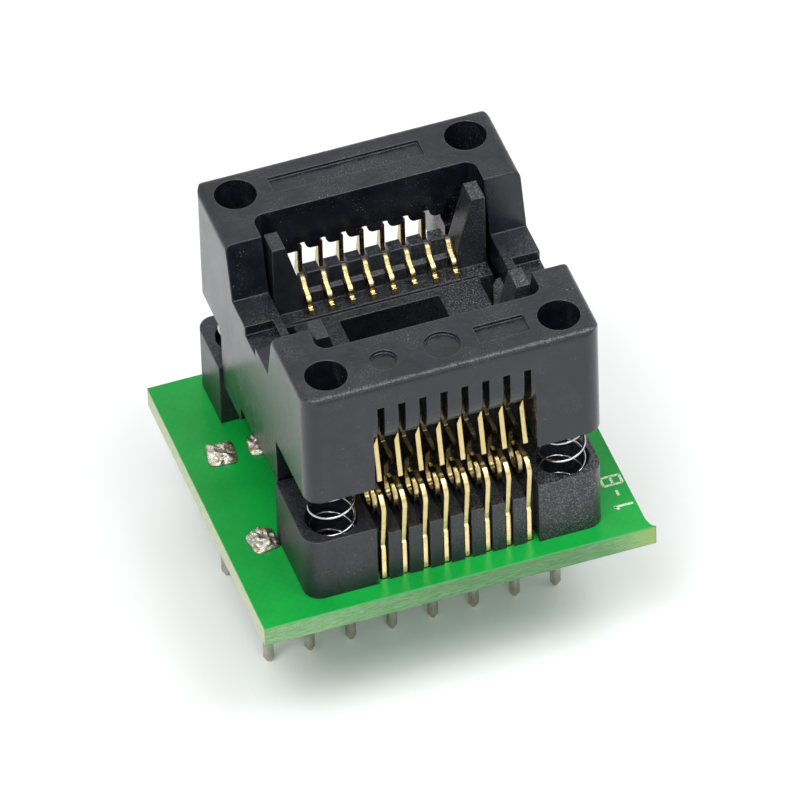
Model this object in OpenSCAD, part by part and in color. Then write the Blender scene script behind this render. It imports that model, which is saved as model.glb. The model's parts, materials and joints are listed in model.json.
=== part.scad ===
// Open-top test socket for small-outline chips, soldered to a circuit board with two
// rows of plug-in pins. Pressing the cover down swings the contact arms clear of the seat.
// Millimetres. +Z is up and X runs along the contact rows. The origin lies under the
// middle of the board, on the plane that the pin tips stand on.

/* [Circuit board] */
// Board length along the contact rows
board_x = 24; // [23:0.1:32]
// Board depth across the contact rows
board_y = 21.3; // [21:0.1:30]
// Board thickness
board_t = 1.4; // [0.8:0.1:2.4]
// Stand-out of the break-off nib at the front right corner
nib_out = 0.4; // [0.1:0.05:0.6]
// Length of the nib along the right edge
nib_y = 1; // [0.5:0.1:3]
// Diameter of the plated holes for the plug-in pins
pin_hole_d = 0.9; // [0.8:0.02:1.2]
// Diameter of the plated holes for the contact tails
tail_hole_d = 0.64; // [0.6:0.02:0.8]

/* [Plug-in pins] */
// Pins in each row
pin_count = 8; // [4:1:8]
// Distance between neighbouring pins
pin_pitch = 2.54; // [2.4:0.01:2.6]
// Distance between the two pin rows
pin_row_gap = 7.62; // [7:0.01:8.4]
// Pin diameter
pin_d = 0.64; // [0.6:0.02:0.7]
// Diameter of a pin's root in the strip and the board
pin_root_d = 0.56; // [0.4:0.02:0.58]
// Length of the root that shows below the strip
pin_neck = 0.3; // [0.2:0.05:0.6]
// Free pin length below the carrier strip
pin_free = 5.8; // [3:0.1:8]
// Carrier strip height
strip_h = 2.54; // [1.5:0.02:4]
// Carrier strip width
strip_w = 2.4; // [1.8:0.05:3.5]
// Pin rows: shift of their middle along X from the board middle
pin_shift_x = -0.83; // [-1.5:0.01:0.5]
// Height of a solder cone
solder_h = 0.55; // [0.3:0.05:0.7]
// Diameter of a pin's solder cone at the board
pin_solder_d = 1.8; // [1.3:0.05:2]

/* [Socket base] */
// Socket: shift along X from the board middle
socket_shift_x = 0.32; // [-0.5:0.01:1]
// Socket: shift along Y from the board middle
socket_shift_y = 0.4; // [-0.3:0.01:0.6]
// Step of the base's front and right faces in from the cover's
base_inset = 0.04; // [0:0.01:0.2]
// Reach of the base beyond the cover on the left
base_left = 0.18; // [0:0.01:0.3]
// Reach of the base beyond the cover at the back
base_back = 0.28; // [0:0.01:0.3]
// Height of the four corner blocks
block_h = 4.5; // [3.6:0.1:5.5]
// Radius of the upright corners
corner_r = 1; // [0.5:0.1:1.4]
// Length of the seat tower
tower_x = 13; // [12.6:0.1:13.2]
// Depth of the seat tower
tower_y = 9.4; // [9:0.1:9.5]
// Seat height above the board
seat_h = 10.2; // [9.6:0.1:10.6]
// Rise of the ribs between the contact arms above the seat
rib_rise = 2.1; // [1.2:0.1:2.4]
// Rise of the corner guides above the seat
guide_rise = 5.2; // [3:0.1:5.5]
// Length of the pit in the middle of the seat
pit_x = 6.1; // [3:0.1:8]
// Depth of the pit in the middle of the seat
pit_y = 3.4; // [2:0.1:4]

/* [Contacts] */
// Contacts in each row
contact_count = 8; // [4:1:8]
// Distance between neighbouring contacts
contact_pitch = 1.27; // [1.2:0.01:1.3]
// Sheet thickness of a contact
contact_t = 0.28; // [0.2:0.01:0.36]
// Width of a contact's strip
contact_w = 0.4; // [0.3:0.01:0.5]
// Distance of a contact tail from the socket middle
tail_out = 9.34; // [9.2:0.01:9.45]
// Distance of the spring loop's centre from the socket middle
loop_out = 7.15; // [7:0.05:7.4]
// Height of the spring loop's centre above the board
loop_h = 4.6; // [4.4:0.05:4.8]
// Radius of the spring loop at the middle of its strip
loop_r = 0.87; // [0.75:0.01:1]
// Distance of a contact nose from the socket middle
nose_out = 2.45; // [2.3:0.05:2.6]

/* [Cover] */
// Cover length along the contact rows
cover_x = 18.04; // [17.8:0.02:19]
// Cover depth across the contact rows
cover_y = 19.9; // [19.6:0.1:20.6]
// Height of the cover's two bars
cover_h = 8.1; // [7.6:0.1:8.8]
// Downward travel of the cover
travel = 2.5; // [1.5:0.1:2.6]
// Gap left under the pressed cover
stop_gap = 0.7; // [0.5:0.05:1.2]
// Length of the cover's well
well_x = 13.6; // [13.5:0.1:14]
// Depth of the cover's well
well_y = 11.9; // [11.7:0.1:12.2]
// Depth of the bars' solid part below their top
bar_h = 3.65; // [3:0.05:4]
// Diameter of the four holes in the cover's top
top_hole_d = 2.5; // [1.8:0.1:2.6]
// Height of the valley floor below the cover's top
valley_h = 3.6; // [2.5:0.1:4]

/* [Springs] */
// Outer diameter of a return spring
spring_d = 2.85; // [2.4:0.05:2.9]
// Wire diameter of a return spring
wire_d = 0.16; // [0.14:0.02:0.3]
// Turns of a return spring
spring_turns = 10.5; // [6:0.5:11]
// Distance between the spring axes along X
spring_gap_x = 14.1; // [13.8:0.05:14.4]
// Distance between the spring axes along Y
spring_gap_y = 16.1; // [15.8:0.05:16.2]

/* [Hidden] */
$fn = 48;
// Overshoot of a cut beyond the face it opens
cut = 1;
// Room between parts that slide past each other
slide_gap = 0.3;
// Room on each side of a contact in its slot
slot_gap = 0.08;
// Room around a spring in its bore
spring_gap = 0.15;
// Room between a skirt of the cover and the blocks beside it
tongue_gap = 0.15;
sides = [-1, 1];
side_names = ["front", "back"];
end_names = ["left", "right"];
board_top = pin_free + strip_h + board_t;
pin_top = board_top + 0.75 * solder_h;
solder_rim = 0.3;
tail_cone_h = 0.8;
tail_cone_rim = 0.12;
tail_cone_gap = 0.15;
rows_x = (contact_count - 1) * contact_pitch;
slot_w = contact_t + 2 * slot_gap;
base_x = cover_x - base_inset + base_left;
base_y = cover_y - base_inset + base_back;
base_mid_x = -(base_inset + base_left) / 2;
base_mid_y = (base_inset + base_back) / 2;

// Angle on the loop where the fixed stem meets the moving arm
loop_split = 225;

// Contact profile, outward from the socket middle and up from the board
tail_stub = 1.2;
kink_h = 2.3;
kink_in = 0.12;
kink_rise = 0.16;
shoulder_r = 0.8;
shoulder_out = tail_out + 0.3;
shoulder_h = loop_h + 0.9;
nose_h = seat_h + contact_w / 2 + 0.06;
beam_out = tower_y / 2 - contact_w / 2;
beam_foot_h = loop_h + 3;
lever_h = loop_h + 2.75;
blade_out = tail_out - 0.07;
blade_tip_h = loop_h + 5.9;
blade_coin = 0.5;

// Cover levels, up from the board
cover_low = block_h + travel + stop_gap;
cover_top = cover_low + cover_h;
window_top = cover_top - bar_h;
slot_top = cover_top - 1.8;
slot_wall = 1.2;
lip_low = window_top - 0.95;
lip_in = cover_y / 2 - 1;
lip_t = 0.6;
lip_rise = 0.65;
notch_w = 0.36;
notch_h = 0.58;
notch_deep = 0.8;
valley_floor = cover_top - valley_h;
ledge_h = cover_top - 2.4;
window_x = rows_x + slot_w + 0.55;
tongue_near = 4.1;
tongue_far = 5.75;
tongue_step = 2.55;
tongue_t = 1.02;
tongue_low = cover_low - 3.35;
tongue_foot = cover_low - 4.4;
tongue_top = cover_low + 2.5;
hook_h = 0.7;
hook_in = 0.9;
hook_y = 3;
edge_r = 0.45;

// Spring seats, up from the board
spring_low = 1.5;
spring_len = ledge_h - spring_low;
spring_bore = spring_d + 2 * spring_gap;

function contact_x(i) = (i - (contact_count - 1) / 2) * contact_pitch;
function pin_x(i) = pin_shift_x + (i - (pin_count - 1) / 2) * pin_pitch;
function pin_y(side) = side * pin_row_gap / 2;

// Points on an arc from angle a to angle b
function arc(centre, r, a, b, steps = 12) =
    [for (k = [0:steps])
        let (t = a + (b - a) * k / steps)
        [centre[0] + r * cos(t), centre[1] + r * sin(t)]];

function unit(v) = v / norm(v);

// Left-hand normal of a path at point k, lengthened where the path turns
function path_normal(p, k) =
    let (n = len(p) - 1)
    let (d0 = unit(p[max(k, 1)] - p[max(k, 1) - 1]))
    let (d1 = unit(p[min(k, n - 1) + 1] - p[min(k, n - 1)]))
    let (m = unit(d0 + d1))
    [-m[1], m[0]] / max(0.5, m * d0);

// Outline of a strip of width w that follows a path
function strip_outline(p, w) =
    concat(
        [for (k = [0:len(p) - 1]) p[k] + path_normal(p, k) * w / 2],
        [for (k = [len(p) - 1:-1:0]) p[k] - path_normal(p, k) * w / 2]);

// Point k of s on a ring of a helix around Z
function helix_point(r, wire_r, pitch, per_turn, k, j, wire_sides) =
    let (a = 360 * k / per_turn)
    let (b = 360 * (j + 0.5) / wire_sides)
    let (out = r + wire_r * cos(b))
    [out * cos(a), out * sin(a), pitch * k / per_turn + wire_r * sin(b)];

module at_socket() {
    translate([socket_shift_x, socket_shift_y, board_top]) children();
}

module at_corners(dx, dy) {
    for (sx = sides, sy = sides) {
        translate([sx * dx / 2, sy * dy / 2, 0]) children();
    }
}

// Plate in the plane across the contact rows, centred on X
module contact_plate(i, side) {
    at_socket()
        translate([contact_x(i) - contact_t / 2, 0, 0])
            mirror([0, side < 0 ? 1 : 0, 0])
                rotate([90, 0, 90]) linear_extrude(contact_t) children();
}

module rounded_rect(x, y, r) {
    square([x - 2 * r, y], center = true);
    square([x, y - 2 * r], center = true);
    for (sx = sides, sy = sides) {
        translate([sx * (x / 2 - r), sy * (y / 2 - r)]) circle(r);
    }
}

// Box centred on X and Y, from height a to height b
module slab(x, y, a, b) {
    translate([-x / 2, -y / 2, a]) cube([x, y, b - a]);
}

// Prism along X of an outline given in Y and Z
module along_x(x, outline) {
    translate([-x / 2, 0, 0]) rotate([90, 0, 90]) linear_extrude(x) polygon(outline);
}

// Prism along Y of an outline given in X and Z
module along_y(y, outline) {
    translate([0, y / 2, 0]) rotate([90, 0, 0]) linear_extrude(y) polygon(outline);
}

// Board outline with the concave flare of the nib
function board_outline() = concat(
    [[-board_x / 2, board_y / 2], [-board_x / 2, -board_y / 2]],
    [for (t = [0:15:90]) [board_x / 2 - nib_out * sin(t), nib_y * (1 - cos(t)) - board_y / 2]],
    [[board_x / 2 - nib_out, board_y / 2]]);

module circuit_board() {
    color([0.12, 0.62, 0.3])
        difference() {
            translate([0, 0, board_top - board_t]) linear_extrude(board_t) polygon(board_outline());
            for (side = sides, i = [0:pin_count - 1]) {
                translate([pin_x(i), pin_y(side), board_top - board_t - cut])
                    cylinder(h = board_t + 2 * cut, d = pin_hole_d);
            }
            for (side = sides, i = [0:contact_count - 1]) {
                at_socket()
                    translate([contact_x(i), side * tail_out, -board_t - cut])
                        cylinder(h = board_t + 2 * cut, d = tail_hole_d);
            }
        }
}

// Moulded strip with a notch between neighbouring pins on both long sides
module carrier_strip(side) {
    notch = 0.35;
    length = pin_count * pin_pitch;
    color([0.09, 0.09, 0.1])
        difference() {
            translate([pin_shift_x, pin_y(side), 0])
                slab(length, strip_w, pin_free, pin_free + strip_h);
            for (i = [0:pin_count - 1]) {
                translate([pin_x(i), pin_y(side), pin_free - cut])
                    cylinder(h = strip_h + 2 * cut, d = pin_root_d);
            }
            for (i = [0:pin_count], sy = sides) {
                translate([pin_x(i) - pin_pitch / 2, pin_y(side) + sy * strip_w / 2, pin_free - cut])
                    rotate(45)
                        translate([-notch, -notch, 0])
                            cube([2 * notch, 2 * notch, strip_h + 2 * cut]);
            }
        }
}

module plug_pins(side) {
    tip = 0.35;
    color([0.68, 0.68, 0.66])
        for (i = [0:pin_count - 1]) {
            translate([pin_x(i), pin_y(side), 0]) {
                cylinder(h = tip, d1 = pin_d * 0.45, d2 = pin_d);
                translate([0, 0, tip]) cylinder(h = pin_free - pin_neck - tip, d = pin_d);
                translate([0, 0, pin_free - pin_neck])
                    cylinder(h = pin_top - pin_free + pin_neck, d = pin_root_d);
            }
        }
}

module pin_solder(side) {
    color([0.7, 0.66, 0.55])
        for (i = [0:pin_count - 1]) {
            translate([pin_x(i), pin_y(side), board_top])
                difference() {
                    cylinder(h = solder_h, d1 = pin_solder_d, d2 = pin_root_d + solder_rim);
                    translate([0, 0, -cut]) cylinder(h = cut + pin_top - board_top, d = pin_root_d);
                }
        }
}

module tail_solder(side) {
    hole = norm([contact_t, contact_w]);
    color([0.7, 0.66, 0.55])
        at_socket()
            for (i = [0:contact_count - 1]) {
                translate([contact_x(i), side * tail_out, -board_t - tail_cone_h])
                    difference() {
                        cylinder(h = tail_cone_h, d1 = hole + tail_cone_rim,
                            d2 = contact_pitch - tail_cone_gap);
                        translate([0, 0, -cut]) cylinder(h = tail_cone_h + 2 * cut, d = hole);
                    }
            }
}

// Corner block with its outer upright corner rounded, reaching to the skirt beside it
module corner_block(sx, sy) {
    block_in = (sx * sy > 0 ? tongue_near : tongue_far) + tongue_gap;
    mirror([sx < 0 ? 1 : 0, 0, 0])
        mirror([0, sy < 0 ? 1 : 0, 0])
            linear_extrude(block_h)
                intersection() {
                    translate([sx * base_mid_x, sy * base_mid_y]) rounded_rect(base_x, base_y, corner_r);
                    translate([window_x / 2, block_in]) square([base_x, base_y]);
                }
}

// Walls that steer the chip's corners, with a sloped lead-in facing the seat
module corner_guides() {
    top = seat_h + guide_rise;
    inner = rows_x / 2 + slot_w / 2 + 0.05;
    wall = 0.8;
    lead = tower_x / 2 - wall - inner;
    outline = [[inner, seat_h - 0.5], [inner, seat_h + 1.5], [inner + lead, top],
        [tower_x / 2, top], [tower_x / 2, seat_h - 0.5]];
    for (sy = sides, sx = sides) {
        mirror([sx < 0 ? 1 : 0, 0, 0])
            translate([0, sy * (tower_y / 2 - 0.8), 0]) along_y(1.5, outline);
    }
}

// Ribs beside the contact arms, stepped towards the seat
module seat_ribs(sy) {
    back = tower_y / 2;
    top = seat_h + rib_rise;
    rib = contact_pitch - slot_w;
    step = seat_h + 0.98;
    outline = [[back, seat_h - 0.5], [back, top], [back - 0.82, top], [back - 0.95, top - 0.7],
        [back - 0.95, step], [back - 1.25, step - 0.1], [back - 1.25, seat_h - 0.5]];
    for (i = [0:contact_count - 2]) {
        translate([contact_x(i) + contact_pitch / 2, 0, 0])
            mirror([0, sy < 0 ? 1 : 0, 0]) along_x(rib, outline);
    }
}

// Comb that keeps the contact tails apart at the board
module tail_comb(sy) {
    comb_out = cover_y / 2 - 0.2;
    comb_in = tower_y / 2 - 0.5;
    comb_h = loop_h - 0.9;
    fin = contact_pitch - slot_w - 0.05;
    web_out = tail_out - contact_w / 2 - 0.25;
    web_h = loop_h - loop_r - contact_w / 2 - 0.35;
    mirror([0, sy < 0 ? 1 : 0, 0]) {
        translate([-window_x / 2 - cut, comb_in, 0])
            cube([window_x + 2 * cut, web_out - comb_in, web_h]);
        for (i = [0:contact_count - 2]) {
            translate([contact_x(i) + (contact_pitch - fin) / 2, comb_in, 0])
                cube([fin, comb_out - comb_in, comb_h]);
        }
    }
}

// Ledge on the tower's end that the cover's hook pulls up against
module latch_lug(sx) {
    low = tongue_low + hook_h;
    outer = cover_x / 2 - tongue_t - slide_gap;
    outline = [[tower_x / 2 - 0.5, low], [outer, low], [outer, low + 0.4], [tower_x / 2, low + 1],
        [tower_x / 2 - 0.5, low + 1]];
    mirror([sx < 0 ? 1 : 0, 0, 0]) along_y(hook_y - 0.3, outline);
}

module socket_base() {
    relief_h = solder_h + 0.25;
    relief_wall = 0.25;
    landing = nose_out - 0.15;
    groove_in = beam_out - contact_w / 2 - slot_gap;
    pit_low = 3;
    end_x = tower_x / 2 - 0.82;
    end_y = 4.1;
    end_low = tongue_low + hook_h + 1.5;
    color([0.1, 0.1, 0.11])
        at_socket()
            difference() {
                union() {
                    slab(tower_x, tower_y, 0, seat_h);
                    corner_guides();
                    for (s = sides) {
                        seat_ribs(s);
                        tail_comb(s);
                        latch_lug(s);
                        corner_block(s, -1);
                        corner_block(s, 1);
                    }
                }
                slab(2 * end_x, 2 * landing, seat_h - 0.2, seat_h + guide_rise + cut);
                slab(pit_x, pit_y, pit_low, seat_h + cut);
                for (s = sides) {
                    translate([s * (end_x + cut), 0, 0])
                        slab(2 * cut, end_y, end_low, seat_h + guide_rise + cut);
                }
                translate([base_mid_x, -socket_shift_y, 0])
                    slab(base_x - 2 * relief_wall, pin_row_gap + pin_solder_d + 0.4, -cut, relief_h);
                at_corners(spring_gap_x, spring_gap_y)
                    translate([0, 0, spring_low]) cylinder(h = block_h, d = spring_bore);
                for (i = [0:contact_count - 1], s = sides) {
                    translate([contact_x(i), s * (groove_in + cut), 0])
                        slab(slot_w, 2 * cut, beam_foot_h, seat_h + cut);
                }
            }
}

// Fixed part of a contact: tail, outward shoulder and most of the spring loop
module contact_stem(i, side) {
    path = concat(
        [[tail_out, -board_t - tail_stub], [tail_out, kink_h], [tail_out - kink_in, kink_h + kink_rise]],
        arc([shoulder_out - shoulder_r, shoulder_h], shoulder_r, 0, 90, 8),
        [[loop_out + 1, shoulder_h + shoulder_r - 0.02]],
        arc([loop_out, loop_h], loop_r, 75, 70, 1));
    color([0.83, 0.68, 0.35])
        contact_plate(i, side)
            union() {
                polygon(strip_outline(path, contact_w));
                polygon(strip_outline(
                    arc([loop_out, loop_h], loop_r, 100, loop_split - 360, 40), contact_w));
            }
}

// Moving part of a contact: end of the loop, beam, hooked nose and the blade that the cover guides
module contact_arm(i, side) {
    neck = loop_out - loop_r;
    lever_top = lever_h + contact_w / 2;
    bend_r = contact_w / 2 + 0.1;
    fillet_r = 0.87;
    path = concat(
        arc([loop_out, loop_h], loop_r, loop_split, 180, 8),
        [[neck + 0.08, loop_h + 1.4], [neck - 0.1, lever_h], [beam_out + 1, lever_h + 0.35],
            [beam_out + 0.3, lever_h + 0.95], [beam_out, lever_h + 1.7]],
        arc([beam_out - bend_r, seat_h + 1.25], bend_r, 0, 130, 6),
        [[nose_out + 1.27, seat_h + 1.1]],
        arc([nose_out + 0.8, nose_h + bend_r + 0.03], bend_r, 95, 180, 6),
        arc([nose_out + 0.8 - 2 * bend_r, nose_h + bend_r], bend_r, 0, -90, 6),
        [[nose_out, nose_h]]);
    blade = concat(
        [[neck, lever_h - 1.35], [neck - 0.1, lever_top]],
        arc([blade_out - 0.8 - fillet_r, lever_top + fillet_r], fillet_r, -90, 0, 6),
        [[blade_out - 0.82, blade_tip_h - 0.2], [blade_out - 0.65, blade_tip_h], [blade_out, lever_top],
            [blade_out - 0.6, lever_h + 0.15], [loop_out + 0.8, lever_h - contact_w / 2],
            [loop_out + 0.2, lever_h - contact_w / 2 - 0.1], [neck + 0.3, lever_h - 1.35]]);
    coin = [[-contact_t, blade_tip_h - 1.5 * blade_coin], [contact_t, blade_tip_h + 0.5 * blade_coin],
        [contact_t, blade_tip_h + blade_coin], [-contact_t, blade_tip_h + blade_coin]];
    color([0.83, 0.68, 0.35])
        difference() {
            contact_plate(i, side)
                union() {
                    polygon(strip_outline(path, contact_w));
                    polygon(blade);
                }
            at_socket()
                translate([contact_x(i), side * (blade_out - 0.6), 0])
                    mirror([side > 0 ? 1 : 0, 0, 0]) along_y(1.2, coin);
        }
}

// Coil of round wire standing on its base pocket
module return_spring(sx, sy) {
    per_turn = 14;
    wire_sides = 6;
    rings = floor(spring_turns * per_turn);
    wire_r = wire_d / 2;
    pitch = (spring_len - wire_d) / spring_turns;
    points = [for (k = [0:rings], j = [0:wire_sides - 1])
        helix_point(spring_d / 2 - wire_r, wire_r, pitch, per_turn, k, j, wire_sides)];
    walls = [for (k = [0:rings - 1], j = [0:wire_sides - 1])
        let (n = (j + 1) % wire_sides)
        [k * wire_sides + j, k * wire_sides + n, (k + 1) * wire_sides + n, (k + 1) * wire_sides + j]];
    ends = [[for (j = [wire_sides - 1:-1:0]) j],
        [for (j = [0:wire_sides - 1]) rings * wire_sides + j]];
    color([0.86, 0.86, 0.87])
        at_socket()
            translate([sx * spring_gap_x / 2, sy * spring_gap_y / 2, spring_low + wire_r])
                polyhedron(points, concat(walls, ends), convexity = 10);
}

// Outer form of the cover: upright corners and top edges rounded
module cover_blank() {
    intersection() {
        translate([0, 0, cover_low]) linear_extrude(cover_h) rounded_rect(cover_x, cover_y, corner_r);
        along_x(cover_x + cut, crowned_outline(cover_y));
        along_y(cover_y + cut, crowned_outline(cover_x));
    }
}

// Section of width w with rounded top edges
function crowned_outline(w) = concat(
    [[-w / 2, cover_low], [w / 2, cover_low]],
    arc([w / 2 - edge_r, cover_top - edge_r], edge_r, 0, 90, 6),
    arc([edge_r - w / 2, cover_top - edge_r], edge_r, 90, 180, 6));

// Skirt of a side wall with its longer foot, and the hook that keeps the cover on
module latch_tongue(sx) {
    outer = cover_x / 2;
    inner = outer - tongue_t;
    hook = [[outer, tongue_low], [outer, tongue_top], [inner, tongue_top], [inner, tongue_low + hook_h],
        [inner - hook_in, tongue_low + hook_h], [inner - hook_in, tongue_low + hook_h - 0.25],
        [inner - 0.2, tongue_low]];
    plate = [[tongue_near, tongue_low], [tongue_near, tongue_top], [-tongue_far, tongue_top],
        [-tongue_far, tongue_foot], [-tongue_step, tongue_foot], [-tongue_step, tongue_low]];
    rotate(sx < 0 ? 180 : 0) {
        translate([outer - tongue_t / 2, 0, 0]) along_x(tongue_t, plate);
        along_y(hook_y, hook);
    }
}

// Room inside a side wall for the base's latch lug and the lead of the tongue
module tongue_room(sx) {
    depth = cover_x / 2 - tongue_t - well_x / 2;
    rotate(sx < 0 ? 180 : 0)
        translate([well_x / 2 - cut, -tongue_far, cover_low - cut])
            cube([depth + cut, tongue_far + tongue_near, tongue_top - cover_low + cut]);
}

// Shallow bare fields in the bars' tops
module top_fields() {
    deep = 0.22;
    bar_mid = (cover_y + well_y) / 4;
    translate([-0.3, bar_mid + 0.1, 0]) slab(9.2, 1.3, cover_top - deep, cover_top + cut);
    translate([3.6, -bar_mid, 0]) slab(3.05, 1.4, cover_top - deep, cover_top + cut);
    translate([-3.55, -bar_mid - 0.05, cover_top - deep]) cylinder(h = cut, d = 1.65);
    translate([0, -bar_mid - 0.05, cover_top - deep]) cylinder(h = cut, d = 2.2);
}

// Opening under a bar, with a rounded lip that hangs along its outer edge
module bar_window(sy) {
    outline = concat(
        [[well_y / 2 - cut, cover_low - cut], [well_y / 2 - cut, window_top], [lip_in, window_top],
            [lip_in, lip_low]],
        [for (t = [-90:15:0]) [cover_y / 2 - lip_t * (1 - cos(t)),
            window_top + lip_rise + (window_top + lip_rise - lip_low) * sin(t)]],
        [[cover_y / 2 + cut, window_top + lip_rise], [cover_y / 2 + cut, cover_low - cut]]);
    mirror([0, sy < 0 ? 1 : 0, 0]) along_x(window_x, outline);
}

// Room for the contact blades in a bar, behind the wall of the well
module blade_slots(sy) {
    inner = well_y / 2 + slot_wall;
    outline = [[inner, lip_low - cut], [inner, window_top], [inner + 0.6, slot_top],
        [cover_y / 2 + cut, slot_top], [cover_y / 2 + cut, lip_low - cut]];
    for (i = [0:contact_count - 1]) {
        translate([contact_x(i), 0, 0])
            mirror([0, sy < 0 ? 1 : 0, 0]) along_x(slot_w, outline);
    }
}

// Notches between the cams in the lower edge of the well's wall, each with one rounded side
module cam_notches(sy) {
    outline = concat(
        [[-notch_w / 2, window_top - cut], [-notch_w / 2, window_top + notch_h]],
        [for (t = [0:15:90])
            [notch_w / 2 + 0.4 * (1 - cos(t)), window_top + notch_h * (1 - sin(t))]],
        [[notch_w / 2 + 0.4, window_top - cut]]);
    for (i = [0:contact_count - 1]) {
        translate([contact_x(i) + contact_pitch / 2, sy * (well_y / 2 + notch_deep - cut), 0])
            along_y(2 * cut, outline);
    }
}

module socket_cover() {
    valley = 4.15;
    valley_foot = 3.2;
    notch_y = 1.86;
    notch_in = well_x / 2 + 0.5;
    valley_outline = [[-valley, cover_top + cut], [-valley, cover_top], [-valley_foot, valley_floor],
        [valley_foot, valley_floor], [valley, cover_top], [valley, cover_top + cut]];
    color([0.1, 0.1, 0.11])
        at_socket()
            difference() {
                union() {
                    cover_blank();
                    for (s = sides) {
                        latch_tongue(s);
                    }
                }
                translate([0, 0, cover_low - cut])
                    linear_extrude(cover_h + 2 * cut) rounded_rect(well_x, well_y, 0.7);
                along_x(cover_x + 2 * cut, valley_outline);
                for (s = sides) {
                    translate([s * (notch_in + cover_x / 2), 0, 0])
                        slab(cover_x, notch_y, valley_floor - 0.65, cover_top);
                    tongue_room(s);
                    bar_window(s);
                    blade_slots(s);
                    cam_notches(s);
                }
                at_corners(spring_gap_x, spring_gap_y) {
                    translate([0, 0, cover_low - cut])
                        cylinder(h = ledge_h - cover_low + cut, d = spring_bore);
                    translate([0, 0, ledge_h - cut])
                        cylinder(h = cover_top - ledge_h + 2 * cut, d = top_hole_d);
                }
                top_fields();
            }
}

contact_nodes = [for (s = [0, 1], part = ["stem", "arm"], i = [1:contact_count])
    str("contact_", part, "_", side_names[s], "_", i)];
row_nodes = [for (s = [0, 1], part = ["carrier_strip", "plug_pins", "pin_solder", "tail_solder"])
    str(part, "_", side_names[s])];
spring_nodes = [for (s = [0, 1], e = [0, 1]) str("return_spring_", side_names[s], "_", end_names[e])];

circuit_board();
socket_base();
socket_cover();
for (s = [0, 1]) {
    carrier_strip(sides[s]);
    plug_pins(sides[s]);
    pin_solder(sides[s]);
    tail_solder(sides[s]);
    for (e = [0, 1]) {
        return_spring(sides[e], sides[s]);
    }
    for (i = [1:contact_count]) {
        contact_stem(i - 1, sides[s]);
        contact_arm(i - 1, sides[s]);
    }
}
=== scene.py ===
"""Chip adapter: fine pieces, materials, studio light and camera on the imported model."""
import json
import math
import random

import bmesh
import bpy
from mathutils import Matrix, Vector, noise

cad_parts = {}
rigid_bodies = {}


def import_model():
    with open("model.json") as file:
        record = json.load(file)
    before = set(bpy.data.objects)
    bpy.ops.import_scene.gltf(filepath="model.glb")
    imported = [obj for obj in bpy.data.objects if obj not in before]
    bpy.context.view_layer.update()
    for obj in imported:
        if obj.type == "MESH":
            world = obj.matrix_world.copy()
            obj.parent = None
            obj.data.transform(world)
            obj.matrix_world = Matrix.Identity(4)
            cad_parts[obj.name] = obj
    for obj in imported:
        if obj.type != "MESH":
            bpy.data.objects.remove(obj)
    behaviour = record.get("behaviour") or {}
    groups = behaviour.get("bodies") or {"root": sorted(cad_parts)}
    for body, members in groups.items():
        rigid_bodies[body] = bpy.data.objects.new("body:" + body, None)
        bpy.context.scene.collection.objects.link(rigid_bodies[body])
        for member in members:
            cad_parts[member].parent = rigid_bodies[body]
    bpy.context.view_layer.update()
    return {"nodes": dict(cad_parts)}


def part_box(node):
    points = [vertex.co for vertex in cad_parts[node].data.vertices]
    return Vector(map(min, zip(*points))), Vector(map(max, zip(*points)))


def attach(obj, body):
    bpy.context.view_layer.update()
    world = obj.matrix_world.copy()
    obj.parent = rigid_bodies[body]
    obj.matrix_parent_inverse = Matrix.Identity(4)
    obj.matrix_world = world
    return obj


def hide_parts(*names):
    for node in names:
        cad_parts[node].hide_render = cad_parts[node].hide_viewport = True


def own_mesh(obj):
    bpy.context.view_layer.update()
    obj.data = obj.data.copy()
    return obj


MM = 0.001
ROWS = (("front", -1), ("back", 1))
ENDS = ("left", "right")
ROW_COUNT = 8

for old in list(bpy.data.objects):
    bpy.data.objects.remove(old, do_unlink=True)

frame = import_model()
nodes = frame["nodes"]


def node_box(name):
    """Lowest and highest corner of a CAD node, in millimetres."""
    low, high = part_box(name)
    return low / MM, high / MM


# Places from the frame, in millimetres
board_low, board_high = node_box("circuit_board")
BOARD_TOP = board_high.z
BOARD_UNDER = board_low.z
BASE_SIDE = node_box("socket_base")[0].x
SOCKET_Y = (node_box("tail_solder_front")[0].y + node_box("tail_solder_back")[1].y) / 2

# Return springs, in millimetres and turns
WIRE_D = 0.16
SPRING_TURNS = 10
CLOSED_TURNS = 1.0
CLOSED_PITCH = WIRE_D * 1.15
COIL_STEPS = 36
WIRE_SIDES = 12

# Angle at which a spring's wire starts, in radians, so that the four differ
START_BY_END = 1.3
START_BY_ROW = 0.4

# Hand-soldered joints, in millimetres
BLOB_R = 0.92
BLOB_H = 0.55
BLOB_TOP = 0.72
BLOB_GAP = 0.02

# Their form: exponents of outline and slope, share of the dished top, largest turn in radians
BLOB_SQUARE = 5
BLOB_SLOPE = 0.8
BLOB_DISH = 0.35
BLOB_TURN = 0.2

# Their lumps: height in millimetres with scale per millimetre, share kept, growth from the rim
COARSE_LUMP, COARSE_SCALE = 0.24, 2.1
FINE_LUMP, FINE_SCALE = 0.12, 5.0
LUMP_SHARE = 0.8
LUMP_GROWTH = 5

# Their random draws: reach of the shift in the noise, and step of the seed along a row
NOISE_FIELD = 50
SEED_STEP = 11

# Tracks and pads under the board, in millimetres
TRACK_W = 0.36
TRACK_T = 0.02
TAIL_CLEAR = 0.55
PIN_CLEAR = 1.25
TAIL_BEND = 0.9
BEND_STEP = 0.12
PIN_BEND = 0.6
PAD_IN = 0.40
PAD_OUT = 0.58
PAD_T = 0.025
PAD_SIDES = 32

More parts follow.
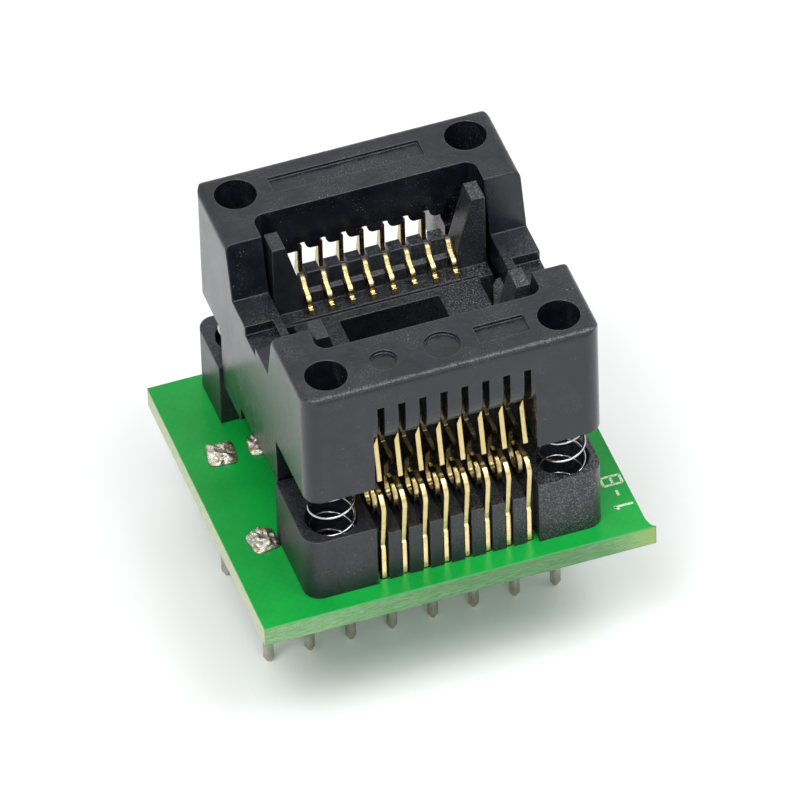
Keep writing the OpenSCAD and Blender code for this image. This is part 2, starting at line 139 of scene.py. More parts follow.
# Row number in legend ink, in millimetres; the signs' points and step are shares of its height
LEGEND = "1-8"
LEGEND_H = 1.15
LEGEND_AT = (board_high.x - 1.75, board_low.y + 1.9)
SIGN_STEP = 0.95
STROKE_W = 0.16
INK_T = 0.012
STROKES = {
    "1": [[(0.12, 0.8), (0.32, 1), (0.32, 0)]],
    "-": [[(0.1, 0.5), (0.5, 0.5)]],
    "8": [[(0, 0), (0, 1), (0.6, 1), (0.6, 0), (0, 0)], [(0, 0.5), (0.6, 0.5)]],
}

# Studio, in metres and watts: name, place, side of the square and power of each lamp
LAMPS = (
    ("key_left", (-0.17, -0.15, 0.40), 0.20, 1.15),
    ("key_right", (0.15, -0.15, 0.40), 0.20, 0.72),
    ("overhead", (0.02, 0.04, 0.46), 0.30, 0.2),
    ("glint", (0.0, -0.46, 0.28), 0.10, 0.29),
)
LAMP_AIM = (0.0, 0.0, 0.014)

# Floor: half its width and its drop below the pins' tips in metres, its tone and its own glow
FLOOR_HALF = 3
FLOOR_DROP = 0.00002
FLOOR_TONE = 0.88
FLOOR_GLOW = 0.05

# Strength of the world's light at the horizon and straight above
SKY_LOW, SKY_HIGH = 0.12, 0.70
SKY_TONE = (0.97, 0.985, 1.0)
WHITE = (1.0, 1.0, 1.0)

# Camera fitted to the photograph, in metres, radians and millimetres of lens and sensor
CAMERA_AT = (-0.178231, -0.555499, 0.580046)
CAMERA_TURN = (0.8004695, 0.0252797, -0.3351690)
CAMERA_LENS = 629.84
CAMERA_SENSOR = 36.0
CAMERA_RANGE = (0.01, 20.0)


class Nodes:
    """Short calls for building a node tree."""

    def __init__(self, tree):
        self.tree = tree
        tree.nodes.clear()

    def add(self, kind, **props):
        node = self.tree.nodes.new(kind)
        for key, value in props.items():
            setattr(node, key, value)
        return node

    def link(self, a, b):
        self.tree.links.new(a, b)

    def put(self, socket, value):
        """Links a socket to another one, or gives it a number or a colour."""
        if isinstance(value, bpy.types.NodeSocket):
            self.link(value, socket)
        elif isinstance(value, tuple):
            socket.default_value = (*value, 1.0)
        else:
            socket.default_value = value

    def math(self, op, a, b=0.0):
        n = self.add("ShaderNodeMath", operation=op)
        self.put(n.inputs[0], a)
        self.put(n.inputs[1], b)
        return n.outputs[0]

    def times(self, a, b):
        return self.math("MULTIPLY", a, b)

    def plus(self, a, b):
        return self.math("ADD", a, b)

    def span(self, value, lo, hi, out_lo=0.0, out_hi=1.0):
        """Spreads a value from one range over another and holds it there."""
        n = self.add("ShaderNodeMapRange")
        self.link(value, n.inputs["Value"])
        n.inputs["From Min"].default_value = lo
        n.inputs["From Max"].default_value = hi
        n.inputs["To Min"].default_value = out_lo
        n.inputs["To Max"].default_value = out_hi
        return n.outputs["Result"]

    def part(self, vector, axis):
        n = self.add("ShaderNodeSeparateXYZ")
        self.link(vector, n.inputs[0])
        return n.outputs[axis]


class Surface(Nodes):
    """A material with one shader, and the parts that the looks below are built from."""

    def __init__(self, name):
        self.mat = bpy.data.materials.new(name)
        self.mat.use_nodes = True
        super().__init__(self.mat.node_tree)
        out = self.add("ShaderNodeOutputMaterial")
        self.bsdf = self.add("ShaderNodeBsdfPrincipled")
        self.link(self.bsdf.outputs["BSDF"], out.inputs["Surface"])
        coord = self.add("ShaderNodeTexCoord")
        scale = self.add("ShaderNodeVectorMath", operation="SCALE")
        scale.inputs["Scale"].default_value = 1 / MM
        self.link(coord.outputs["Object"], scale.inputs[0])
        self.mm = scale.outputs[0]
        self.normal = self.add("ShaderNodeNewGeometry").outputs["Normal"]

    def set(self, name, value):
        """Gives the shader's named socket a value or a link."""
        self.put(self.bsdf.inputs[name], value)

    def place_part(self, axis):
        """Place along one axis, in millimetres."""
        return self.part(self.mm, axis)

    def normal_part(self, axis):
        return self.part(self.normal, axis)

    def facing(self, axis, lo, hi):
        """1 on faces square to an axis, 0 on faces along it."""
        return self.span(self.math("ABSOLUTE", self.normal_part(axis)), lo, hi)

    def stretch(self, vec, x, y, z):
        n = self.add("ShaderNodeVectorMath", operation="MULTIPLY")
        self.link(vec, n.inputs[0])
        n.inputs[1].default_value = (x, y, z)
        return n.outputs[0]

    def turned(self, degrees):
        """Place in millimetres, turned about X."""
        n = self.add("ShaderNodeVectorRotate", rotation_type="X_AXIS")
        self.link(self.mm, n.inputs["Vector"])
        n.inputs["Angle"].default_value = math.radians(degrees)
        return n.outputs[0]

    def noise(self, scale, detail=3.0, rough=0.55, vec=None):
        """Noise with its scale per millimetre."""
        n = self.add("ShaderNodeTexNoise")
        self.link(vec or self.mm, n.inputs["Vector"])
        n.inputs["Scale"].default_value = scale
        n.inputs["Detail"].default_value = detail
        n.inputs["Roughness"].default_value = rough
        return n.outputs["Fac"]

    def spread(self, value, out_lo=0.0, out_hi=1.0):
        """Spreads the usual range of a noise."""
        return self.span(value, 0.3, 0.7, out_lo, out_hi)

    def mix(self, fac, a, b):
        n = self.add("ShaderNodeMix", data_type="RGBA")
        self.put(n.inputs[0], fac)
        self.put(n.inputs[6], a)
        self.put(n.inputs[7], b)
        return n.outputs[2]

    def soft_edges(self, radius_mm):
        n = self.add("ShaderNodeBevel", samples=6)
        n.inputs["Radius"].default_value = radius_mm * MM
        return n.outputs["Normal"]

    def edge_mask(self, bevel, lo, hi):
        """1 on edges that the bevel rounds, 0 on open faces."""
        dot = self.add("ShaderNodeVectorMath", operation="DOT_PRODUCT")
        self.link(bevel, dot.inputs[0])
        self.link(self.normal, dot.inputs[1])
        return self.span(dot.outputs["Value"], hi, lo)

    def bump(self, height, distance_mm, strength=1.0, normal=None):
        n = self.add("ShaderNodeBump")
        n.inputs["Strength"].default_value = strength
        n.inputs["Distance"].default_value = distance_mm * MM
        self.link(height, n.inputs["Height"])
        if normal is not None:
            self.link(normal, n.inputs["Normal"])
        return n.outputs["Normal"]

    def lean_up(self, normal, amount):
        """Tips a normal upwards by an amount."""
        up = self.add("ShaderNodeCombineXYZ")
        self.link(amount, up.inputs["Z"])
        lean = self.add("ShaderNodeVectorMath", operation="ADD")
        self.link(normal, lean.inputs[0])
        self.link(up.outputs[0], lean.inputs[1])
        unit = self.add("ShaderNodeVectorMath", operation="NORMALIZE")
        self.link(lean.outputs[0], unit.inputs[0])
        return unit.outputs[0]


def worn_patches(t):
    """1 in patches a few millimetres wide where moulded plastic was handled."""
    return t.span(t.noise(0.42, 3.0), 0.42, 0.62)


def base_speckle(t, level):
    """Glass-filled skin that shows most towards the right and on level faces."""
    least_x, most_x = -1.0, 7.5
    right = t.span(t.place_part("X"), least_x, most_x, 0.10, 0.75)
    return t.plus(right, t.times(level, 0.15))


def light_speckle(t, level):
    """A few worn patches, mostly on level faces."""
    return t.times(worn_patches(t), t.span(level, 0.0, 1.0, 0.03, 0.22))


def moulded_plastic(name, dark, light, rough, edge, speckle, grain_mm):
    """Black moulded plastic: uneven gloss, fine grain, pale specks, fine scratches, and pale rounded edges
    that are partly rubbed wear and partly a painted highlight.
    """
    speck_tone = (0.17, 0.172, 0.178)
    scratch_tone = (0.20, 0.20, 0.20)
    fleck_tone = (0.45, 0.45, 0.45)
    smudge_tone = tuple(2.6 * c for c in light)
    t = Surface(name)
    bevel = t.soft_edges(0.13)
    cloud = t.noise(0.55, 4.0)
    ripple = t.noise(2.4, 3.0, 0.6)
    grain = t.noise(12.0, 3.0, 0.6)
    patch = worn_patches(t)
    level = t.span(t.normal_part("Z"), 0.6, 0.9)
    end = t.facing("X", 0.7, 0.9)
    speck = t.times(t.span(t.noise(11.0, 3.0, 0.65), 0.51, 0.63), speckle(t, level))
    streak = t.noise(4.0, 4.0, 0.6, t.stretch(t.turned(35.0), 5.0, 3.0, 0.30))
    scratch = t.times(t.span(streak, 0.56, 0.72), t.math("MAXIMUM", end, patch))
    fleck = t.times(t.span(t.noise(9.0, 2.0, 0.5), 0.70, 0.75), patch)
    # Pale rounded edges: partly rubbed wear, partly a painted highlight where the edges catch the light.
    rub_and_highlight = t.times(t.edge_mask(bevel, 0.75, 0.96), t.span(t.noise(3.2, 3.0), 0.30, 0.58))
    smudge = t.span(t.noise(0.9, 5.0, 0.65), 0.42, 0.68, 0.0, 0.6)
    base = t.mix(smudge, t.mix(cloud, dark, light), smudge_tone)
    base = t.mix(speck, base, speck_tone)
    base = t.mix(t.times(scratch, 0.2), base, scratch_tone)
    base = t.mix(t.times(fleck, 0.7), base, fleck_tone)
    base = t.mix(t.times(rub_and_highlight, 0.8), base, edge)
    t.set("Base Color", base)
    worn = t.plus(t.times(grain, 0.08), t.times(scratch, 0.14))
    t.set("Roughness", t.plus(t.spread(cloud, *rough), worn))
    wavy = t.bump(t.times(ripple, level), 0.14, 0.5, bevel)
    height = t.plus(grain, t.times(streak, t.span(end, 0.0, 1.0, 0.2, 1.2)))
    t.set("Normal", t.bump(height, grain_mm, 0.6, wavy))
    t.set("IOR", 1.5)
    return t.mat


def board_mask(t):
    """Green mask with a faint weave under it and fine dust."""
    mask_dark, mask_light = (0.002, 0.26, 0.033), (0.005, 0.36, 0.048)
    weave_tone, dust_tone = (0.015, 0.46, 0.07), (0.15, 0.52, 0.20)
    weave_x = t.math("SINE", t.times(t.place_part("X"), 9.5))
    weave_y = t.math("SINE", t.times(t.place_part("Y"), 9.5))
    mask = t.mix(t.spread(t.noise(0.22, 3.0)), mask_dark, mask_light)
    mask = t.mix(t.span(t.times(weave_x, weave_y), -1.0, 1.0, 0.0, 0.10), mask, weave_tone)
    return t.mix(t.span(t.noise(24.0, 2.0), 0.70, 0.76, 0.0, 0.3), mask, dust_tone)


def board_cut(t, fibres):
    """Glass-fibre laminate on cut edges: green where routed, pale where snapped, yellower at the right,
    with painted shade darkening the middle of the routed edges.
    """
    routed_dark, routed_light = (0.09, 0.25, 0.09), (0.24, 0.46, 0.22)
    pale_dark, pale_light = (0.44, 0.52, 0.33), (0.70, 0.74, 0.55)
    fibre_tone, gap_tone = (0.42, 0.64, 0.36), (0.03, 0.05, 0.025)
    painted_shade_tone, yellow_tone = (0.03, 0.07, 0.035), (0.40, 0.50, 0.15)
    rim_tone = (0.04, 0.42, 0.085)
    pale_end = board_low.x + 7.0
    # Where the painted shade on the routed edges starts, is full, fades and ends.
    shade_start, shade_full = board_low.x + 3.0, board_low.x + 12.0
    shade_fades, shade_end = board_high.x - 5.0, board_high.x - 1.0
    yellow_start, yellow_full = board_high.x - 2.6, board_high.x - 0.3
    rim_start, rim_full = BOARD_TOP - 0.18, BOARD_TOP - 0.06
    along = t.place_part("X")
    snapped = t.facing("X", 0.4, 0.6)
    layers = t.span(t.noise(5.0, 4.0, 0.6, t.stretch(t.mm, 0.35, 0.35, 4.0)), 0.32, 0.68)
    left = t.span(along, board_low.x, pale_end, 0.22, 0.0)
    pale = t.math("MAXIMUM", snapped, t.times(left, t.span(fibres, 0.35, 0.65)))
    cut = t.mix(pale, t.mix(layers, routed_dark, routed_light), t.mix(layers, pale_dark, pale_light))
    cut = t.mix(t.span(fibres, 0.56, 0.78, 0.0, 0.55), cut, fibre_tone)
    cut = t.mix(t.span(fibres, 0.42, 0.24, 0.0, 0.5), cut, gap_tone)
    # Painted shade: the routed edges are darkened towards their middle.
    middle = t.times(t.span(along, shade_start, shade_full, 0.0, 0.38),
                     t.span(along, shade_end, shade_fades))
    cut = t.mix(t.times(middle, t.math("SUBTRACT", 1.0, snapped)), cut, painted_shade_tone)
    cut = t.mix(t.span(along, yellow_start, yellow_full, 0.0, 0.5), cut, yellow_tone)
    rim = t.span(t.place_part("Z"), rim_start, rim_full)
    return t.mix(t.times(rim, 0.8), cut, rim_tone)


def board_material():
    """Glossy green mask on both faces and rough laminate on every cut edge."""
    t = Surface("board_mask_and_edge")
    face = t.facing("Z", 0.45, 0.55)
    fibres = t.noise(9.0, 4.0, 0.65, t.stretch(t.mm, 1.0, 1.0, 2.2))
    t.set("Base Color", t.mix(face, board_cut(t, fibres), board_mask(t)))
    t.set("Roughness", t.span(face, 0.0, 1.0, 0.85, 0.28))
    t.set("Specular IOR Level", 0.32)
    height = t.plus(t.times(t.noise(1.6, 2.0), 0.5), t.times(fibres, 0.5))
    t.set("Normal", t.bump(height, 0.012, 0.4, t.soft_edges(0.05)))
    return t.mat


def contact_material():
    """Thin gold plating on the strips' ends; flat sides darkened with painted shade; the unplated middle
    of the arms is a dull grey, darkened with painted shade where the arms pass through the slots and
    darkest lower down.
    """
    gold_dark, gold_light = (0.72, 0.56, 0.24), (0.87, 0.74, 0.43)
    # Colours of the flat sides, darkened as painted shade.
    flat_dark, flat_light = (0.11, 0.080, 0.030), (0.28, 0.21, 0.09)
    tarnish_tone, deep_tone = (0.27, 0.21, 0.08), (0.52, 0.41, 0.18)
    # Near-black painted shade in the slots, and grey unplated metal higher up.
    painted_slot_shade, bare_light = (0.035, 0.030, 0.022), (0.30, 0.26, 0.17)
    foot_full, foot_top = 1.6, 2.4
    kink_low, kink_high = 2.4, 3.6
    lever_low, lever_high = 5.5, 8.0
    bare_low, bare_full = 6.9, 7.5
    bare_inner, bare_in, bare_out, bare_outer = 3.7, 4.1, 5.4, 5.9
    light_low, light_high = 10.0, 11.4
    t = Surface("contact_plating")
    out = t.math("ABSOLUTE", t.math("SUBTRACT", t.place_part("Y"), SOCKET_Y))
    rise = t.math("SUBTRACT", t.place_part("Z"), BOARD_TOP)
    gold = t.mix(t.spread(t.noise(1.3, 3.0)), gold_dark, gold_light)
    # Flat sides: gold painted darker and browner, as painted shade.
    flat = t.mix(t.span(t.noise(2.2, 3.0), 0.35, 0.65), flat_dark, flat_light)
    tone = t.mix(t.facing("X", 0.55, 0.8), gold, flat)
    tone = t.mix(t.span(t.noise(3.0, 3.0, 0.6), 0.58, 0.74, 0.0, 0.3), tone, tarnish_tone)
    deep = t.plus(t.span(rise, kink_low, kink_high, 0.0, 0.4),
                  t.span(rise, lever_low, lever_high, 0.0, 0.22))
    tone = t.mix(deep, tone, deep_tone)
    # Where the arms pass through the slots under the cover: unplated metal with painted shade, near black
    # lower down and grey higher up.
    bare_and_slot_shade = t.times(t.span(out, bare_outer, bare_out), t.span(out, bare_inner, bare_in))
    bare_and_slot_shade = t.times(bare_and_slot_shade, t.span(rise, bare_low, bare_full))
    dull = t.mix(t.span(rise, light_low, light_high), painted_slot_shade, bare_light)
    t.set("Base Color", t.mix(bare_and_slot_shade, tone, dull))
    t.set("Metallic", 1.0)
    shine = t.spread(t.noise(4.0, 3.0), 0.20, 0.28)
    t.set("Roughness", t.plus(shine, t.times(bare_and_slot_shade, 0.25)))
    scratch = t.noise(22.0, 2.0, 0.6, t.stretch(t.mm, 2.5, 0.35, 0.35))
    scratched = t.bump(scratch, 0.006, 0.4, t.soft_edges(0.08))
    t.set("Normal", t.lean_up(scratched, t.span(rise, foot_top, foot_full, 0.0, 0.28)))
    return t.mat


def metal_material(name, dark, light, rough, scale, bump_mm, stretch=(1, 1, 1)):
    """Bare metal with clouded tone and gloss, drawn out along a direction."""
    t = Surface(name)
    vec = t.stretch(t.mm, *stretch)
    t.set("Base Color", t.mix(t.spread(t.noise(scale, 4.0, 0.6, vec)), dark, light))
    t.set("Metallic", 1.0)
    t.set("Roughness", t.spread(t.noise(scale * 1.7, 3.0, 0.5, vec), *rough))
    t.set("Normal", t.bump(t.noise(scale * 4.0, 3.0, 0.6, vec), bump_mm, 0.5))
    return t.mat


def solder_material():
    """Hand-soldered joint: dull grey metal, thin brown flux film in patches, dark pits."""
    metal_dark, metal_light = (0.34, 0.32, 0.27), (0.80, 0.78, 0.70)
    flux_tone, pit_tone = (0.31, 0.24, 0.10), (0.06, 0.055, 0.04)
    t = Surface("solder_joint")
    film = t.span(t.noise(1.9, 4.0), 0.50, 0.64)
    metal = t.mix(t.spread(t.noise(4.5, 4.0)), metal_dark, metal_light)
    pits = t.span(t.noise(9.0, 3.0, 0.65), 0.58, 0.70, 0.0, 0.85)
    t.set("Base Color", t.mix(pits, t.mix(film, metal, flux_tone), pit_tone))
    t.set("Metallic", t.span(film, 0.0, 1.0, 1.0, 0.5))
    t.set("Roughness", t.spread(t.noise(5.0, 3.0), 0.16, 0.42))
    t.set("Normal", t.bump(t.noise(7.0, 4.0, 0.65), 0.08, 0.8))
    return t.mat


def ink_material():
    """Worn cream legend ink that lets a little of the mask through."""
    thin_tone, full_tone = (0.35, 0.62, 0.36), (0.86, 0.88, 0.72)
    t = Surface("legend_ink")
    t.set("Base Color", t.mix(t.span(t.noise(9.0, 4.0, 0.7), 0.40, 0.62), thin_tone, full_tone))
    t.set("Roughness", t.spread(t.noise(6.0, 2.0), 0.5, 0.7))
    return t.mat


def track_material():
    """Copper under the mask, which shows as a paler green."""
    dark, light = (0.012, 0.36, 0.095), (0.02, 0.46, 0.13)
    t = Surface("covered_track")
    t.set("Base Color", t.mix(t.spread(t.noise(0.5, 3.0)), dark, light))
    t.set("Roughness", t.spread(t.noise(2.0, 2.0), 0.3, 0.4))
    return t.mat


# The fifth colour of each plastic is its pale edge: rubbed wear with a painted highlight.
cover_plastic = moulded_plastic("cover_moulding", (0.0024, 0.0034, 0.0060), (0.0052, 0.0066, 0.0105),
                                (0.13, 0.21), (0.075, 0.077, 0.083), light_speckle, 0.010)
base_plastic = moulded_plastic("base_moulding", (0.0024, 0.0034, 0.0060), (0.0056, 0.0070, 0.0108),
                               (0.22, 0.32), (0.085, 0.087, 0.093), base_speckle, 0.045)
carrier = moulded_plastic("carrier_moulding", (0.005, 0.005, 0.0055), (0.011, 0.011, 0.012),
                          (0.36, 0.48), (0.05, 0.05, 0.052), light_speckle, 0.030)
board = board_material()
plating = contact_material()
pin_tin = metal_material("pin_tin", (0.32, 0.31, 0.26), (0.58, 0.56, 0.48), (0.30, 0.48), 2.2, 0.012,
                         (1, 1, 0.4))
wire = metal_material("spring_wire", (0.42, 0.42, 0.43), (0.64, 0.64, 0.65), (0.10, 0.22), 3.0, 0.004)
solder = solder_material()
ink = ink_material()
track = track_material()

# Materials by the start of a node's name
LOOKS = {
    "circuit_board": board,
    "socket_base": base_plastic,
    "socket_cover": cover_plastic,
    "carrier_strip": carrier,
    "plug_pins": pin_tin,
    "pin_solder": solder,
    "tail_solder": solder,
    "return_spring": wire,
    "contact_stem": plating,
    "contact_arm": plating,
}


def dress(obj, mat):
    obj.data.materials.clear()
    obj.data.materials.append(mat)


def new_piece(name, bm, mat, body, smooth=True):
    """Links a finished mesh, given in millimetres, as a piece that rides on a body."""
    for v in bm.verts:
        v.co = v.co * MM
    bmesh.ops.recalc_face_normals(bm, faces=bm.faces)
    mesh = bpy.data.meshes.new(name)
    bm.to_mesh(mesh)
    bm.free()
    for poly in mesh.polygons:
        poly.use_smooth = smooth
    obj = bpy.data.objects.new(name, mesh)
    bpy.context.scene.collection.objects.link(obj)
    dress(obj, mat)
    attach(obj, body)
    return obj


def ring_angles(count):
    return [2 * math.pi * j / count for j in range(count)]


def join_rings(bm, lower, upper):
    """Faces between two rings of as many points."""
    count = len(lower)
    for j in range(count):
        n = (j + 1) % count
        bm.faces.new((lower[j], lower[n], upper[n], upper[j]))


def row_places(node):
    """Middles of a row of eight in the board's plane, from the row's box."""
    low, high = node_box(node)
    reach = (high.y - low.y) / 2
    step = (high.x - low.x - 2 * reach) / (ROW_COUNT - 1)
    return [(low.x + reach + i * step, (low.y + high.y) / 2) for i in range(ROW_COUNT)]


def add_tube(bm, points, radius):
    """Closed round tube along a list of points."""
    rings = []
    last = len(points) - 1
    for k, p in enumerate(points):
        ahead = (points[min(k + 1, last)] - points[max(k - 1, 0)]).normalized()
        across = ahead.cross(Vector((0, 0, 1))).normalized()
        other = across.cross(ahead).normalized()
        rings.append([bm.verts.new(p + radius * (across * math.cos(a) + other * math.sin(a)))
                      for a in ring_angles(WIRE_SIDES)])
    for k in range(last):
        join_rings(bm, rings[k], rings[k + 1])
    bm.faces.new(list(reversed(rings[0])))
    bm.faces.new(rings[last])


def spring_height(turn, length):
    """Height along a spring after so many turns: closed end coils, open coils between."""
    closed = CLOSED_TURNS * CLOSED_PITCH
    body = length - WIRE_D - 2 * closed
    if turn < CLOSED_TURNS:
        return turn * CLOSED_PITCH
    if turn > SPRING_TURNS - CLOSED_TURNS:
        return closed + body + (turn - SPRING_TURNS + CLOSED_TURNS) * CLOSED_PITCH
    return closed + body * (turn - CLOSED_TURNS) / (SPRING_TURNS - 2 * CLOSED_TURNS)


def make_spring(side, end, start):
    """Round-wire coil with closed ends."""
    name = f"return_spring_{side}_{end}"
    low, high = node_box(name)
    mid = (low + high) / 2
    mid_r = (high.x - low.x - WIRE_D) / 2
    length = high.z - low.z
    points = []
    for k in range(SPRING_TURNS * COIL_STEPS + 1):
        a = start + 2 * math.pi * k / COIL_STEPS
        z = low.z + WIRE_D / 2 + spring_height(k / COIL_STEPS, length)
        points.append(Vector((mid.x + mid_r * math.cos(a), mid.y + mid_r * math.sin(a), z)))
    bm = bmesh.new()
    add_tube(bm, points, WIRE_D / 2)
    obj = new_piece(f"coil_{side}_{end}", bm, wire, "base")
    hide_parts(name)
    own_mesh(obj)


def squarish(a):
    """Radius of a rounded square at an angle, 1 at the middle of its sides."""
    return (abs(math.cos(a)) ** BLOB_SQUARE + abs(math.sin(a)) ** BLOB_SQUARE) ** (-1 / BLOB_SQUARE)


def add_solder_blob(bm, x, y, seed):
    """Lumpy hand-soldered joint on a squarish pad; one beside the base stops short of its wall."""
    rings, segs = 14, 40
    reach = BASE_SIDE - BLOB_GAP if x < BASE_SIDE else math.inf
    rng = random.Random(seed)
    turn = rng.uniform(-BLOB_TURN, BLOB_TURN)
    shift = Vector((rng.uniform(0, NOISE_FIELD), rng.uniform(0, NOISE_FIELD), seed))
    loops = []
    for i in range(rings + 1):
        f = i / rings
        h = BLOB_H * math.sin(f * math.pi / 2) ** BLOB_SLOPE * (1 - BLOB_DISH * f ** 6)
        loop = []
        for a in ring_angles(segs):
            r = BLOB_R * squarish(a) * (1 - f) ** BLOB_SLOPE
            c, s = math.cos(a + turn), math.sin(a + turn)
            p = Vector((x + r * c, y + r * s, BOARD_TOP + h))
            lump = noise.noise(p * COARSE_SCALE + shift) * COARSE_LUMP
            lump += noise.noise(p * FINE_SCALE + shift) * FINE_LUMP
            p += Vector((c, s, 1.0)) * lump * min(1.0, f * LUMP_GROWTH) * LUMP_SHARE
            p.z = max(BOARD_TOP, min(p.z, BOARD_TOP + BLOB_TOP))
            p.x = min(p.x, reach)
            loop.append(bm.verts.new(p))
        loops.append(loop)
    for i in range(rings):
        join_rings(bm, loops[i], loops[i + 1])
    bm.faces.new(loops[rings])
    bm.faces.new(list(reversed(loops[0])))


def make_solder_blobs(side, first_seed):
    """One row of soldered joints on top of the board, in place of the plain cones."""
    bm = bmesh.new()
    for i, (x, y) in enumerate(row_places(f"plug_pins_{side}")):
        add_solder_blob(bm, x, y, SEED_STEP * i + first_seed)
    bmesh.ops.remove_doubles(bm, verts=bm.verts, dist=1e-5)
    blobs = new_piece(f"solder_blobs_{side}", bm, solder, "base")
    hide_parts(f"pin_solder_{side}")


def add_ribbon(bm, points, width, z, thick):
    """Flat strip along points in the board's plane, from height z by a thickness."""
    left, right = [], []
    last = len(points) - 1
    for k, p in enumerate(points):
        d = (Vector(points[min(k + 1, last)]) - Vector(points[max(k - 1, 0)])).normalized()
        across = Vector((-d.y, d.x)) * width / 2
        left.append(Vector(p) + across)
        right.append(Vector(p) - across)
    rim = left + right[::-1]
    low = [bm.verts.new((p.x, p.y, z)) for p in rim]
    high = [bm.verts.new((p.x, p.y, z + thick)) for p in rim]
    n = len(rim)
    for k in range(last):
        bm.faces.new((high[k], high[k + 1], high[n - 2 - k], high[n - 1 - k]))
        bm.faces.new((low[n - 1 - k], low[n - 2 - k], low[k + 1], low[k]))
    join_rings(bm, low, high)


def add_washer(bm, x, y, z):
    """Flat pad ring with its lower face at height z."""
    def circle(r, h):
        return [bm.verts.new((x + r * math.cos(a), y + r * math.sin(a), h))
                for a in ring_angles(PAD_SIDES)]

    inner_low, outer_low = circle(PAD_IN, z), circle(PAD_OUT, z)
    inner_high, outer_high = circle(PAD_IN, z + PAD_T), circle(PAD_OUT, z + PAD_T)
    join_rings(bm, inner_low, outer_low)
    join_rings(bm, outer_high, inner_high)
    join_rings(bm, outer_low, outer_high)
    join_rings(bm, inner_high, inner_low)


def make_tracks():
    """Tracks under the mask on the board's lower face, from each contact tail to its pin."""
    bm = bmesh.new()
    for side, sy in ROWS:
        pairs = zip(row_places(f"tail_solder_{side}"), row_places(f"plug_pins_{side}"))
        for i, (tail, pin) in enumerate(pairs):
            end_y = pin[1] + sy * PIN_CLEAR
            from_middle = abs(i - (ROW_COUNT - 1) / 2)
            points = [(tail[0], tail[1] - sy * TAIL_CLEAR),
                      (tail[0], tail[1] - sy * (TAIL_BEND + BEND_STEP * from_middle)),
                      (pin[0], end_y + sy * PIN_BEND),
                      (pin[0], end_y)]
            add_ribbon(bm, points, TRACK_W, BOARD_UNDER - TRACK_T, TRACK_T)
    new_piece("board_tracks", bm, track, "base", smooth=False)


def make_tail_pads():
    """Tinned pads round the contact tails on the board's lower face."""
    bm = bmesh.new()
    for side, _ in ROWS:
        for x, y in row_places(f"tail_solder_{side}"):
            add_washer(bm, x, y, BOARD_UNDER - PAD_T)
    new_piece("tail_pads", bm, solder, "base", smooth=False)


def make_legend():
    """Plain row number in legend ink on the right margin, read from the right-hand side."""
    bm = bmesh.new()
    for k, sign in enumerate(LEGEND):
        for stroke in STROKES[sign]:
            for ends in zip(stroke, stroke[1:]):
                points = [(LEGEND_AT[0] + (1 - rise) * LEGEND_H,
                           LEGEND_AT[1] + (k * SIGN_STEP + along) * LEGEND_H) for along, rise in ends]
                add_ribbon(bm, points, STROKE_W, BOARD_TOP, INK_T)
    new_piece("legend", bm, ink, "base", smooth=False)


def make_floor():
    """Pale floor that keeps the object's shadow."""
    t = Surface("studio_floor")
    t.set("Base Color", (FLOOR_TONE, FLOOR_TONE, FLOOR_TONE))
    t.set("Roughness", 0.9)
    t.set("Specular IOR Level", 0.0)
    t.set("Emission Color", WHITE)
    t.set("Emission Strength", FLOOR_GLOW)
    mesh = bpy.data.meshes.new("floor")
    corners = [(sx * FLOOR_HALF, sy * FLOOR_HALF, 0) for sx, sy in ((-1, -1), (1, -1), (1, 1), (-1, 1))]
    mesh.from_pydata(corners, [], [(0, 1, 2, 3)])
    floor = bpy.data.objects.new("floor", mesh)
    floor.location.z = -FLOOR_DROP
    bpy.context.scene.collection.objects.link(floor)
    dress(floor, t.mat)


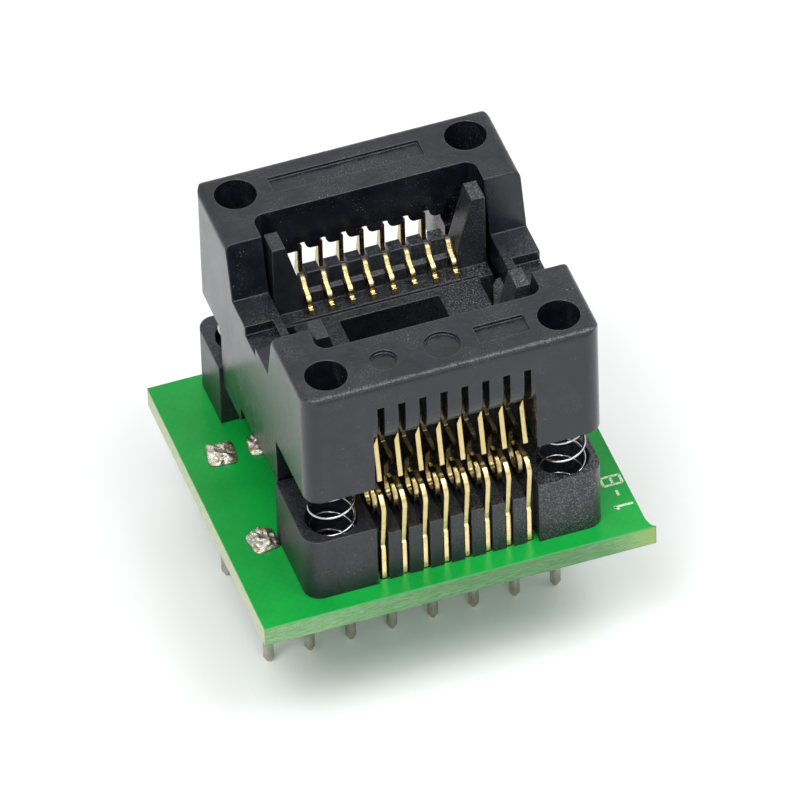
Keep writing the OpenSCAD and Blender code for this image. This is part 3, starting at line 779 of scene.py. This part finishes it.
def make_world():
    """World that lights mostly from above and is white where it is seen or mirrored."""
    world = bpy.data.worlds.new("studio")
    bpy.context.scene.world = world
    world.use_nodes = True
    w = Nodes(world.node_tree)
    out = w.add("ShaderNodeOutputWorld")
    path = w.add("ShaderNodeLightPath").outputs
    mirrored = w.math("MAXIMUM", path["Is Glossy Ray"], path["Is Transmission Ray"])
    seen = w.math("MAXIMUM", path["Is Camera Ray"], mirrored)
    height = w.part(w.add("ShaderNodeTexCoord").outputs["Generated"], "Z")
    lights = w.add("ShaderNodeBackground")
    w.put(lights.inputs["Color"], SKY_TONE)
    w.put(lights.inputs["Strength"], w.span(height, 0.0, 1.0, SKY_LOW, SKY_HIGH))
    white = w.add("ShaderNodeBackground")
    w.put(white.inputs["Color"], WHITE)
    white.inputs["Strength"].default_value = 1.0
    mix = w.add("ShaderNodeMixShader")
    w.link(seen, mix.inputs["Fac"])
    w.link(lights.outputs[0], mix.inputs[1])
    w.link(white.outputs[0], mix.inputs[2])
    w.link(mix.outputs[0], out.inputs["Surface"])


def make_lamp(name, place, size, power):
    """Square soft lamp aimed at the object."""
    data = bpy.data.lights.new(name, "AREA")
    data.shape = "SQUARE"
    data.size = size
    data.energy = power
    obj = bpy.data.objects.new(name, data)
    obj.location = place
    obj.rotation_euler = (Vector(LAMP_AIM) - Vector(place)).to_track_quat("-Z", "Y").to_euler()
    bpy.context.scene.collection.objects.link(obj)


def make_camera():
    """Long lens from the front left and above, as the photograph was taken."""
    data = bpy.data.cameras.new("photo_camera")
    data.sensor_width = CAMERA_SENSOR
    data.lens = CAMERA_LENS
    data.clip_start, data.clip_end = CAMERA_RANGE
    camera = bpy.data.objects.new("photo_camera", data)
    camera.location = CAMERA_AT
    camera.rotation_euler = CAMERA_TURN
    bpy.context.scene.collection.objects.link(camera)
    bpy.context.scene.camera = camera


for name, obj in nodes.items():
    for start, mat in LOOKS.items():
        if name.startswith(start):
            dress(obj, mat)

for side, sy in ROWS:
    for k, end in enumerate(ENDS):
        make_spring(side, end, START_BY_END * k + START_BY_ROW * sy)
make_solder_blobs("front", first_seed=0)
make_solder_blobs("back", first_seed=3)
make_tracks()
make_tail_pads()
make_legend()

make_world()
make_floor()
for lamp in LAMPS:
    make_lamp(*lamp)
make_camera()
bpy.context.scene.view_settings.view_transform = "Standard"

bpy.context.view_layer.update()
